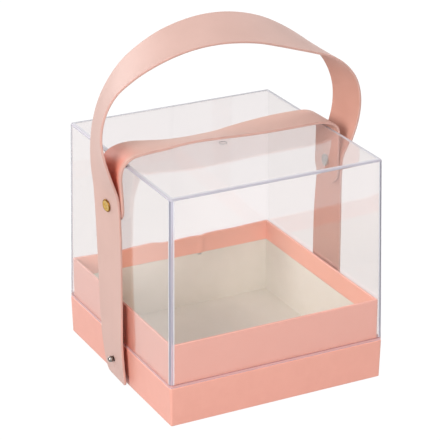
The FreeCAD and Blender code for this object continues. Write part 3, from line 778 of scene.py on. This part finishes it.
HANDLE = Run(HANDLE_RUN)
HOLD = Run(HOLD_RUN)


def round_hole(centre, radius, steps=28):
    """A round hole's outline in a flat strap."""
    return arc(centre, radius, 0, 360, steps)[:-1]


def key_hole(centre, radius, towards):
    """A buttonhole's outline: a round hole with a fine slit towards the strap's tip."""
    half_slit = 0.25 * MM
    along_slit = [radius + reach * MM for reach in (2, 4, 6)]
    edge = math.degrees(math.asin(half_slit / radius))
    outline = arc((0, 0), radius, edge, 360 - edge, 26)
    outline += [(along, -half_slit) for along in along_slit]
    outline += [(along, half_slit) for along in reversed(along_slit)]
    return [(centre[0] + towards * along, centre[1] + across) for along, across in outline]


def loop_edges(bm, outline):
    """New vertices and edges round an outline."""
    points = [bm.verts.new((*place, 0)) for place in outline]
    return [bm.edges.new((near, far)) for near, far in zip(points, points[1:] + points[:1])]


def half_tip(half_width, radius):
    """Half of a strap's tip with its rounded corner, from the side to the middle, as (distance
    from the tip, distance from the middle)."""
    count = int((TIP_ZONE - radius) / COLUMN_STEP)
    outline = [(TIP_ZONE - COLUMN_STEP * step, half_width) for step in range(1, count)]
    outline += arc((radius, half_width - radius), radius, 90, 180, 8)
    return outline + [(0.0, half_width / 3)]


def flat_strap(width, corners, start, end, tips, tip_holes, inner_holes):
    """A strap laid flat: X along it and Y across it, with its tips and holes cut out. corners
    are the radii of the tips' front and back corners. tips says which of the two ends are tips."""
    bm = bmesh.new()
    low = start + (TIP_ZONE if tips[0] else 0)
    high = end - (TIP_ZONE if tips[1] else 0)
    count = max(2, round((high - low) / COLUMN_STEP))
    columns = [low + (high - low) * column / count for column in range(count + 1)]
    grid = [[bm.verts.new((column, width / 2 * row, 0)) for row in ROWS] for column in columns]
    for near, far in zip(grid, grid[1:]):
        for row in range(len(ROWS) - 1):
            bm.faces.new((near[row], far[row], far[row + 1], near[row + 1]))
    hole_edges = [edge for outline in tip_holes for edge in loop_edges(bm, outline)]
    for is_tip, column, place in ((tips[0], grid[0], lambda d: start + d),
                                  (tips[1], grid[-1], lambda d: end - d)):
        if not is_tip:
            continue
        front, back = (half_tip(width / 2, corner) for corner in corners)
        outline = [(distance, -across) for distance, across in front] + back[::-1]
        outline = [bm.verts.new((place(distance), across, 0)) for distance, across in outline]
        chain = [column[0], *outline, column[-1]]
        edges = [bm.edges.new(pair) for pair in zip(chain, chain[1:])]
        edges += [bm.edges.get(pair) for pair in zip(column, column[1:])]
        edges += [e for e in hole_edges if abs(e.verts[0].co.x - place(0)) < TIP_ZONE]
        bmesh.ops.triangle_fill(bm, use_beauty=True, use_dissolve=False, edges=edges,
                                normal=(0, 0, 1))
    for outline in inner_holes:
        middle = sum((Vector((*place, 0)) for place in outline), Vector()) / len(outline)
        inside = [f for f in bm.faces
                  if max(map(abs, f.calc_center_median() - middle)) < HOLE_ZONE]
        rim = set()
        for face in inside:
            rim ^= set(face.edges)
        bmesh.ops.delete(bm, geom=inside, context="FACES_ONLY")
        loose = [e for e in bm.edges if not e.link_faces and e not in rim]
        bmesh.ops.delete(bm, geom=loose, context="EDGES")
        rim = [e for e in rim if e.is_valid]
        bmesh.ops.triangle_fill(bm, use_beauty=True, use_dissolve=False,
                                edges=rim + loop_edges(bm, outline), normal=(0, 0, 1))
    return bm


def inward_directions(rim_edges):
    """The direction into the leather at each vertex of a flat strap's rim."""
    inward = {}
    for edge in rim_edges:
        along = (edge.verts[1].co - edge.verts[0].co).normalized()
        into = Vector((-along.y, along.x, 0))
        if into.dot(edge.link_faces[0].calc_center_median() - edge.verts[0].co) < 0:
            into.negate()
        for vert in edge.verts:
            inward[vert.index] = inward.get(vert.index, Vector()) + into
    return {index: into.normalized() for index, into in inward.items()}


def make_strap(name, run, width, corners, start, end, tips, tip_holes=(), inner_holes=(),
               leather=PINK_LEATHER):
    """A length of strap with rounded, painted edges, laid along its run. It is closed by a flat
    cap at an end that isn't a tip."""
    flat = flat_strap(width, corners, start, end, tips, tip_holes, inner_holes)
    flat.verts.ensure_lookup_table()
    flat.verts.index_update()
    for face in flat.faces:
        if face.normal.z < 0:
            face.normal_flip()
    seams = [place for place, is_tip in zip((start, end), tips) if not is_tip]

    def at_seam(vert):
        return any(abs(vert.co.x - seam) < SAME_PLACE for seam in seams)

    rim_edges = [e for e in flat.edges if len(e.link_faces) == 1 and not all(map(at_seam, e.verts))]
    inward = inward_directions(rim_edges)
    bm = bmesh.new()

    def laid(place, rise):
        middle, across, outward = run.frame_at(place.x)
        return bm.verts.new(middle + across * place.y + outward * rise)

    half = STRAP_GAUGE / 2
    turns = [(math.radians(turn), half - EDGE_ROUND) for turn in (60, 30, 0)]
    turns += [(math.radians(turn), EDGE_ROUND - half) for turn in (0, -30, -60)]
    top, bottom, rims = {}, {}, {}
    for vert in flat.verts:
        place, into = vert.co, inward.get(vert.index)
        if into is None:
            top[vert.index], bottom[vert.index] = laid(place, half), laid(place, -half)
            continue
        face_place = place + into * EDGE_ROUND
        top[vert.index], bottom[vert.index] = laid(face_place, half), laid(face_place, -half)
        rim = [laid(place + into * EDGE_ROUND * (1 - math.cos(turn)),
                    level + EDGE_ROUND * math.sin(turn)) for turn, level in turns]
        rims[vert.index] = [top[vert.index], *rim, bottom[vert.index]]

    finishes = [leather, STRAP_EDGE, LEATHER_BACK_SHADED]
    for face in flat.faces:
        bm.faces.new([top[v.index] for v in face.verts])
        # The back faces take the darker copy of the leather, a painted shade.
        back = bm.faces.new([bottom[v.index] for v in reversed(face.verts)])
        back.material_index = finishes.index(LEATHER_BACK_SHADED)
    for edge in rim_edges:
        near, far = (rims[v.index] for v in edge.verts)
        place = edge.verts[0].co
        on_hole = abs(place.y) < width / 4 and start + 1e-6 < place.x < end - 1e-6
        for level in range(len(near) - 1):
            face = bm.faces.new((near[level], near[level + 1], far[level + 1], far[level]))
            face.material_index = finishes.index(leather if on_hole else STRAP_EDGE)
    for seam in seams:
        column = sorted((v for v in flat.verts if abs(v.co.x - seam) < SAME_PLACE),
                        key=lambda v: v.co.y)
        chain = rims[column[0].index][::-1] + [top[v.index] for v in column[1:-1]]
        chain += rims[column[-1].index] + [bottom[v.index] for v in reversed(column[1:-1])]
        for edge in bm.faces.new(chain).edges:
            edge.smooth = False
    flat.free()
    piece = add_object(name, bm, finishes[0])
    for finish in finishes[1:]:
        piece.data.materials.append(finish)
    return weight_normals(piece)


def buttonhole_at(run, side):
    """The buttonhole's outline over one ball stud."""
    length = run.length_at_height(STUD_PLACE[1], side)
    middle, across, _ = run.frame_at(length)
    place = Vector((middle.x, *STUD_PLACE))
    length, aside = run.nearest(place)
    return key_hole((length, aside), BUTTONHOLE, side)


def rivet_hole_at(run, end):
    """A rivet hole's outline on a strap."""
    length, aside = run.nearest(Vector(RIVETS[end][1]) * MM)
    return round_hole((length, aside), RIVET_HOLE)


def make_handle():
    """The handle strap: its middle, and two tails that hang down the box's sides."""
    seam_height, bend_height, bend_reach = 64 * MM, 36 * MM, 11 * MM
    left_seam, right_seam = (HANDLE.length_at_height(seam_height, side) for side in (-1, 1))
    left = make_strap("left_strap_tail", HANDLE, HANDLE_WIDTH, TIP_CORNERS, 0, left_seam,
                      (True, False), [buttonhole_at(HANDLE, -1)])
    right = make_strap("right_strap_tail", HANDLE, HANDLE_WIDTH, TIP_CORNERS, right_seam,
                       HANDLE.length, (False, True), [buttonhole_at(HANDLE, 1)])
    middle = make_strap("handle_leather", HANDLE, HANDLE_WIDTH, TIP_CORNERS, left_seam, right_seam,
                        (False, False), (), [rivet_hole_at(HANDLE, end) for end in RIVETS])
    finish_piece(middle, "strap", "pink_leather", "handle_strap")
    for piece, end, side in ((left, "left", -1), (right, "right", 1)):
        bend = HANDLE.frame_at(HANDLE.length_at_height(bend_height, side))[0]
        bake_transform(piece)
        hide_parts(end + "_strap_end")


def make_hold_down():
    """The strap that lies over the cover and holds it down."""
    trimmed, corner = 4 * MM, 12 * MM
    holes = [rivet_hole_at(HOLD, end) for end in RIVETS]
    # Its leather is the lighter copy, a painted light.
    piece = make_strap("hold_down_leather", HOLD, HOLD_WIDTH, (corner, corner), trimmed,
                       HOLD.length, (True, True), holes, leather=HOLD_LEATHER_LIT)
    finish_piece(piece, "hold_down", "pink_leather", "hold_down_strap")


# ---------------------------------------------------------------- studs and rivets

def turned_piece(name, profile, place, axis, material, rim=None):
    """A turned metal piece with its axis at a place, pointing along a direction. rim is the darker
    finish of its outer edge, a painted shade, and the radius where that starts."""
    bm = bmesh.new()
    revolved(bm, profile)
    if rim is not None:
        for face in bm.faces:
            face.material_index = int(face.calc_center_median().to_2d().length > rim[1])
    turn = axis.to_track_quat("Z", "Y").to_matrix().to_4x4()
    bmesh.ops.transform(bm, matrix=Matrix.Translation(place) @ turn, verts=bm.verts)
    piece = add_object(name, bm, material)
    if rim is not None:
        piece.data.materials.append(rim[0])
    return weight_normals(piece)


def in_mm(points):
    """A turned profile in metres from one in millimetres."""
    return [(radius * MM, height * MM) for radius, height in points]


def make_studs():
    """Ball studs: a flange on the box's side, a slim neck and a ball, bored for the screw. The
    profile is in millimetres."""
    ball_radius, ball_height, neck, flange_seat = 2.8, 8.2, 1.7, 99.7 * MM
    start = math.degrees(math.asin(neck / ball_radius)) - 90
    profile = [(0, 5), (1.15, 5), (1.2, 4.9), (1.2, 0.1), (1.3, 0), (3.8, 0), (4, 0.2), (4, 0.9)]
    profile += [(3.7, 1.2), (2.2, 1.3), (1.85, 1.55), (neck, 2.0), (neck, 5.6)]
    profile += arc((0, ball_height), ball_radius, start, 82, 18) + [(0, ball_height + ball_radius)]
    for end, side in (("left", -1), ("right", 1)):
        seat = Vector((side * flange_seat, *STUD_PLACE))
        # The balls take the darkened nickel, a painted reflection.
        piece = turned_piece(end + "_ball_stud", in_mm(profile), seat, Vector((side, 0, 0)),
                             NICKEL_PAINTED_DARK)
        finish_piece(piece, "root", "nickel", end + "_stud")


def rivet_axis(end):
    """The outward direction of a rivet's post."""
    side, _, yaw, droop = RIVETS[end]
    yaw, droop = math.radians(yaw), math.radians(droop)
    level = Vector((math.cos(yaw), -math.sin(yaw), 0)) * side * math.cos(droop)
    return level - Vector((0, 0, math.sin(droop)))


def make_rivets():
    """Rivets: a dished gold cap with a rolled rim, painted a darker gold as shade, and its post,
    and a flat back inside. The profiles are in millimetres, and grip is half of what the caps hold
    between them."""
    grip, shaded_rim_radius = 2.8, 4.75
    cap = [(0, -grip), (1.8, -grip), (2, 0.2 - grip), (2, grip), (5.2, grip), (5.5, grip + 0.2)]
    cap += [(5.6, grip + 0.55), (5.45, grip + 0.9), (5.1, grip + 1.12), (4.6, grip + 1.2)]
    cap += [(4.1, grip + 1.14), (3.7, grip + 0.98), (2.6, grip + 0.84), (1.3, grip + 0.78)]
    cap += [(0, grip + 0.76)]
    back = [(0, -1), (4.7, -1), (5.2, -0.9), (5.5, -0.6), (5.6, -0.3), (5.5, 0), (0, 0)]
    for end in ("left", "right"):
        axis, place = rivet_axis(end), Vector(RIVETS[end][1]) * MM
        piece = turned_piece(end + "_rivet_cap", in_mm(cap), place, axis, GOLD,
                             (GOLD_RIM_SHADE, shaded_rim_radius * MM))
        finish_piece(piece, "strap", "gold_brass", end + "_rivet")
        seat = place - axis * grip * MM
        piece = turned_piece(end + "_rivet_washer", in_mm(back), seat, axis, NICKEL)
        finish_piece(piece, "strap", "nickel", end + "_rivet_back")


# ---------------------------------------------------------------- scene

def make_floor():
    """A white floor to look at, and a duller one that throws light back up at the object."""
    floors = (("floor", 0.2 * MM, FLOOR, True), ("floor_bounce", 0.4 * MM, FLOOR_BOUNCE, False))
    for name, drop, material, looked_at in floors:
        bm = bmesh.new()
        bmesh.ops.create_grid(bm, x_segments=8, y_segments=8, size=6.0)
        bmesh.ops.translate(bm, vec=(0, 0, -drop), verts=bm.verts)
        plane = add_object(name, bm, material)
        plane.visible_diffuse = not looked_at
        plane.visible_camera = looked_at
        plane.visible_glossy = looked_at
        plane.visible_transmission = looked_at
        plane.visible_shadow = False


def make_lamp(name, place, width, watts):
    """A round soft lamp that points at the lower middle of the object."""
    target = Vector((0, 0, 0.1))
    lamp = bpy.data.lights.new(name, "AREA")
    lamp.shape = "DISK"
    lamp.size = width
    lamp.energy = watts
    holder = bpy.data.objects.new(name, lamp)
    holder.location = place
    holder.rotation_mode = "QUATERNION"
    holder.rotation_quaternion = (target - Vector(place)).to_track_quat("-Z", "Y")
    bpy.context.scene.collection.objects.link(holder)


def make_world(brightness, mirrored):
    """A white studio, a little duller where it is mirrored. The lamps do the lighting."""
    world = bpy.data.worlds.new("studio")
    bpy.context.scene.world = world
    world.use_nodes = True
    tree = world.node_tree
    background = tree.nodes["Background"]
    background.inputs["Color"].default_value = (1, 1, 1, 1)
    rays = tree.nodes.new("ShaderNodeLightPath")
    level = tree.nodes.new("ShaderNodeMapRange")
    level.inputs["To Min"].default_value = brightness
    level.inputs["To Max"].default_value = mirrored
    tree.links.new(rays.outputs["Is Glossy Ray"], level.inputs["Value"])
    tree.links.new(level.outputs["Result"], background.inputs["Strength"])
    world.cycles_visibility.diffuse = False


def make_camera():
    """The viewing angle: 27 degrees to the left of the front and 23 degrees above it."""
    azimuth, elevation, distance = math.radians(-27.17), math.radians(22.88), 1.7356
    target = Vector((-2.47, 0, 126.6)) * MM
    level = Vector((math.sin(azimuth), -math.cos(azimuth), 0)) * math.cos(elevation)
    back = level + Vector((0, 0, math.sin(elevation)))
    data = bpy.data.cameras.new("camera")
    data.lens = 166.67
    data.sensor_width = 36.0
    data.clip_start, data.clip_end = 0.05, 50.0
    camera = bpy.data.objects.new("camera", data)
    camera.location = target + back * distance
    camera.rotation_mode = "QUATERNION"
    camera.rotation_quaternion = (-back).to_track_quat("-Z", "Y")
    bpy.context.scene.collection.objects.link(camera)
    bpy.context.scene.camera = camera


dress_cad_nodes()
make_base_wrap()
make_neck_board()
make_neck_wrap()
make_clear_cover()
make_gate_mark()
make_handle()
make_hold_down()
make_studs()
make_rivets()
make_floor()
make_world(1.0, 0.78)
make_lamp("overhead", (0.0, -0.2, 2.4), 2.4, 20.0)
make_lamp("front", (-0.1, -2.3, 1.15), 1.4, 26.0)
make_lamp("left", (-2.05, -1.1, 1.15), 1.2, 57.0)
make_lamp("right_fill", (2.3, 0.3, 1.3), 1.6, 32.0)
make_lamp("back_fill", (-0.9, 2.3, 1.3), 1.6, 34.0)
make_camera()
bpy.context.scene.view_settings.view_transform = "Standard"
